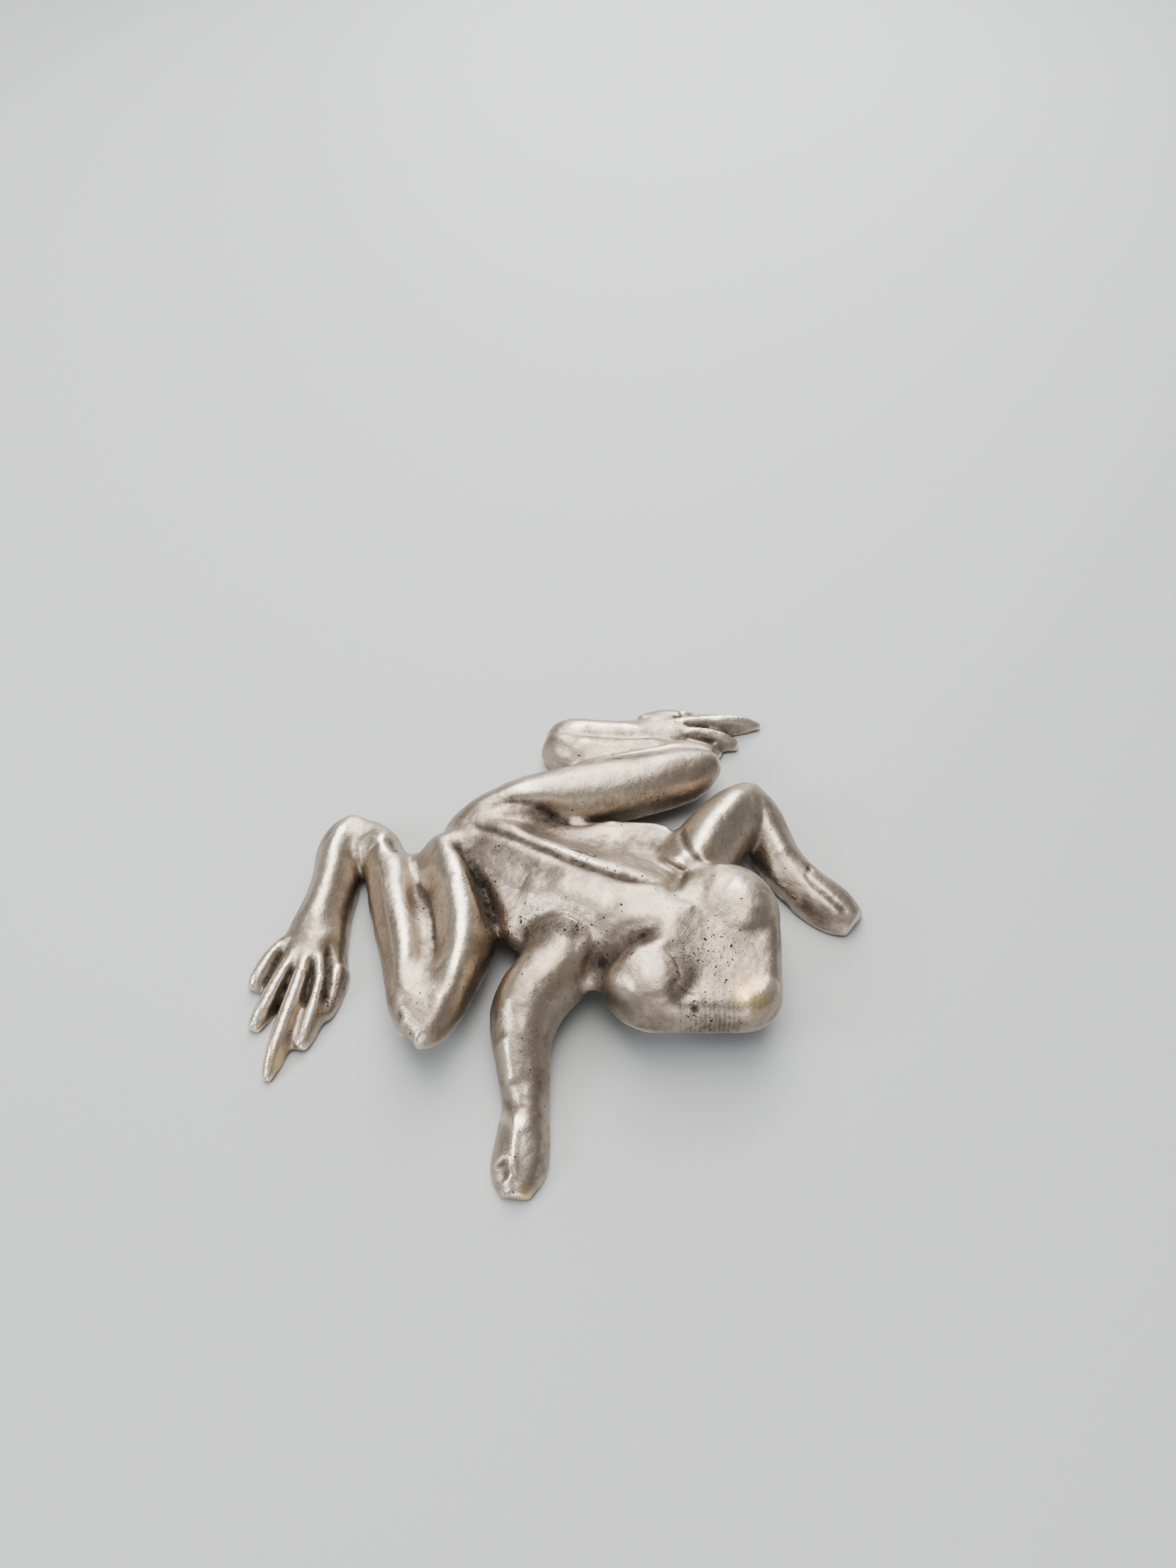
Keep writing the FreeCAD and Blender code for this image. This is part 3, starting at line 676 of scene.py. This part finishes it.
class Outputs:
    def __init__(self, tree, node):
        self.tree = tree
        self.node = node

    def __getitem__(self, name):
        if isinstance(name, int):
            return Flow(self.tree, self.node.outputs[name])
        shown = [socket for socket in self.node.outputs if socket.name == name and socket.enabled]
        return Flow(self.tree, shown[0])


def makeNode(tree, kind, settings=None, values=None):
    node = tree.nodes.new(kind)
    for key, value in (settings or {}).items():
        if key == "stops":
            while len(node.color_ramp.elements) < len(value):
                node.color_ramp.elements.new(1.0)
            for element, (position, colour) in zip(node.color_ramp.elements, value):
                element.position = position
                element.color = colour
        else:
            setattr(node, key, value)
    for key, value in (values or {}).items():
        if isinstance(key, int):
            socket = node.inputs[key]
        else:
            socket = [item for item in node.inputs if item.name == key and item.enabled][0]
        if isinstance(value, Flow):
            tree.links.new(value.socket, socket)
        else:
            socket.default_value = value
    return Outputs(tree, node)


silverFinish = {
    "silver": (0.445, 0.378, 0.312, 1),
    # the bright silver serves polish, bright scratches and painted highlights; the tarnish colours serve patina
    # and painted shade
    "silverBright": (0.86, 0.77, 0.65, 1),
    "silverGrey": (0.26, 0.215, 0.18, 1),
    "tarnish": (0.070, 0.055, 0.043, 1),
    "deepTarnish": (0.016, 0.010, 0.007, 1),
    "brass": (0.70, 0.52, 0.25, 1),
    "rough": 0.38,
    "roughDark": 0.58,
    "roughBright": 0.30,
    "noiseSize": 620.0,       # patterns to a metre
    "cloudSize": 130.0,
    "poreSize": 1500.0,
    "grainSize": 2600.0,
    "scratchSize": 5200.0,
    "bumpStrength": 0.6,
    "bumpHeight": 0.00018,
}


def makeSilver():
    f = silverFinish
    material = bpy.data.materials.new("agedSilver")
    material.use_nodes = True
    tree = material.node_tree
    tree.nodes.clear()

    def tone(name):
        return makeNode(tree, "ShaderNodeAttribute", {"attribute_name": name})["Fac"]

    def blend(share, first, second):
        node = makeNode(tree, "ShaderNodeMix", {"data_type": "RGBA"},
                        {"Factor": share, "A": first, "B": second})
        return node["Result"]

    place = makeNode(tree, "ShaderNodeTexCoord")["Object"]

    def noise(scale, detail=3.0, rough=0.55, vector=place):
        return makeNode(tree, "ShaderNodeTexNoise", None,
                        {"Vector": vector, "Scale": scale, "Detail": detail, "Roughness": rough})[0]

    dark, bright, brass, pores = tone("dark"), tone("bright"), tone("brass"), tone("pores")
    mottle = noise(f["noiseSize"], 5.0, 0.65)
    cloud = noise(f["cloudSize"], 3.0)
    speck = noise(f["poreSize"], 2.0, 0.5)
    grain = noise(f["grainSize"], 3.0, 0.6)

    # long fine scratches in two directions
    stretched = makeNode(tree, "ShaderNodeMapping", None,
                         {"Vector": place, "Rotation": (0, 0, 0.7), "Scale": (1.0, 0.06, 1.0)})["Vector"]
    crossed = makeNode(tree, "ShaderNodeMapping", None,
                       {"Vector": place, "Rotation": (0, 0, -0.5), "Scale": (0.05, 1.0, 1.0)})["Vector"]
    scratch = noise(f["scratchSize"], 2.0, 0.5, stretched)
    scratchOther = noise(f["scratchSize"], 2.0, 0.5, crossed)

    # haze greys the silver at random, a little more under painted shade and less under painted highlights; the
    # tarnish mask is patina together with painted shade, the polish mask is polish together with painted
    # highlights
    haze = (cloud + (mottle - 0.5) * 0.5 + dark * 0.3 - bright * 0.35).between(0.38, 0.74)
    tarnish = (dark * 1.25 + (mottle - 0.5) * 1.3 * (dark * 0.8 + 0.40) + (cloud - 0.5) * 0.7
               - bright * 0.25).between(0.14, 0.90)
    deepPatinaShade = (dark + (mottle - 0.5) * 1.3).between(0.72, 1.10)
    polishHighlightMask = (bright + (cloud - 0.5) * 0.6 - dark * 0.4).between(0.15, 0.85)
    pits = (speck + pores * 0.10 + dark * 0.04).between(0.725, 0.765)
    freckles = (grain + pores * 0.12 + dark * 0.12).between(0.62, 0.76)

    colour = blend(haze * 0.85, f["silver"], f["silverGrey"])
    colour = blend(polishHighlightMask * 0.85, colour, f["silverBright"])
    colour = blend(scratch.between(0.60, 0.74) * 0.30, colour, f["silverBright"])
    colour = blend((brass * (mottle * 1.2 + 0.30)).between(0.10, 0.95) * 0.75, colour, f["brass"])
    colour = blend(freckles * 0.55, colour, f["tarnish"])
    colour = blend(tarnish * 0.90, colour, f["tarnish"])
    colour = blend(deepPatinaShade, colour, f["deepTarnish"])
    colour = blend(pits * 0.95, colour, f["deepTarnish"])

    rough = tarnish * (f["roughDark"] - f["rough"]) + f["rough"] - polishHighlightMask * (f["rough"] - f["roughBright"])
    rough = (rough + (mottle - 0.5) * 0.20 + (scratch - 0.5) * 0.16 + pits * 0.3 + haze * 0.05).most(0.16)

    heights = mottle * 0.40 + grain * 0.22 + scratch * 0.30 + scratchOther * 0.18 - pits * 0.9 + cloud * 0.5
    bump = makeNode(tree, "ShaderNodeBump", None,
                    {"Strength": f["bumpStrength"], "Distance": f["bumpHeight"], "Height": heights})["Normal"]

    shader = makeNode(tree, "ShaderNodeBsdfPrincipled", None,
                      {"Base Color": colour, "Metallic": 1.0 - tarnish * 0.5 - pits * 0.5,
                       "Roughness": rough, "Normal": bump})
    makeNode(tree, "ShaderNodeOutputMaterial", None, {"Surface": shader["BSDF"]})
    return material


room = {
    "floorSize": 8.0,
    "floorColour": (0.50, 0.51, 0.52, 1),
    "worldColour": (0.86, 0.86, 0.86, 1),
    "worldStrength": 0.34,
    "keyPlace": (0.27, 0.24, 0.62),
    "keySize": 0.60,
    "keyPower": 4.5,
    "fillPlace": (-0.45, 0.42, 0.40),
    "fillSize": 0.25,
    "fillPower": 2.2,
    "overPlace": (-0.06, -0.03, 0.70),
    "overSize": 0.40,
    "overPower": 1.9,
    "frontPlace": (-0.38, -0.26, 0.13),
    "frontSize": 0.30,
    "frontPower": 0.5,
    "rimPlace": (0.50, 0.20, 0.30),
    "rimSize": 0.40,
    "rimPower": 2.0,
}


def addLight(name, place, size, power, colour=(1, 1, 1)):
    bpy.ops.object.light_add(type="AREA", location=place)
    light = bpy.context.view_layer.objects.active
    light.name = name
    light.data.shape = "SQUARE"
    light.data.size = size
    light.data.energy = power
    light.data.color = colour
    spot = np.array(place)
    away = spot / np.linalg.norm(spot)
    light.rotation_euler = (math.acos(away[2]), 0, math.atan2(away[0], -away[1]))
    return light


def makeRoom():
    bpy.ops.mesh.primitive_plane_add(size=room["floorSize"], location=(0, 0, -0.00005))
    floor = bpy.context.view_layer.objects.active
    floor.name = "floor"
    material = bpy.data.materials.new("paleFloor")
    material.use_nodes = True
    shader = material.node_tree.nodes["Principled BSDF"]
    shader.inputs["Base Color"].default_value = room["floorColour"]
    shader.inputs["Roughness"].default_value = 0.6
    floor.data.materials.append(material)
    world = bpy.data.worlds.new("room")
    world.use_nodes = True
    world.node_tree.nodes["Background"].inputs["Color"].default_value = room["worldColour"]
    world.node_tree.nodes["Background"].inputs["Strength"].default_value = room["worldStrength"]
    bpy.context.scene.world = world
    addLight("keyLight", room["keyPlace"], room["keySize"], room["keyPower"], (1.0, 0.975, 0.94))
    addLight("fillLight", room["fillPlace"], room["fillSize"], room["fillPower"], (0.96, 0.98, 1.0))
    addLight("overLight", room["overPlace"], room["overSize"], room["overPower"], (1.0, 0.98, 0.96))
    addLight("frontLight", room["frontPlace"], room["frontSize"], room["frontPower"], (1.0, 0.98, 0.95))
    addLight("rimLight", room["rimPlace"], room["rimSize"], room["rimPower"])


viewer = {
    "place": (-0.10244, -0.06157, 0.175),
    "pitch": 40.0,         # degrees up from straight down
    "heading": -60.0,
    "lens": 27.0,
    "sensor": 36.0,
}


def makeCamera():
    data = bpy.data.cameras.new("viewer")
    data.sensor_fit = "VERTICAL"
    data.sensor_height = viewer["sensor"]
    data.lens = viewer["lens"]
    data.clip_start = 0.005
    camera = bpy.data.objects.new("viewer", data)
    bpy.context.scene.collection.objects.link(camera)
    camera.location = viewer["place"]
    camera.rotation_euler = (math.radians(viewer["pitch"]), 0, math.radians(viewer["heading"]))
    bpy.context.scene.camera = camera


skin = makeSkin()
print("skin", len(skin.data.polygons), "faces")
fillHollows(skin)
dark, bright = modelStrokes(skin)
weatherSkin(skin, dark, bright)
roughenSkin(skin)
print("skin modelled")
silver = makeSilver()
print("silver made")
members = divideSkin(skin)
bpy.data.objects.remove(skin)
for name, member in members.items():
    member.data.materials.clear()
    member.data.materials.append(silver)
    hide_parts(name)
    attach(member, "root")
    print("cast", name, len(member.data.polygons), "faces")
makeRoom()
makeCamera()
print("room and camera placed")
view = bpy.context.scene.view_settings
view.view_transform = "AgX"
view.look = "AgX - Medium High Contrast"
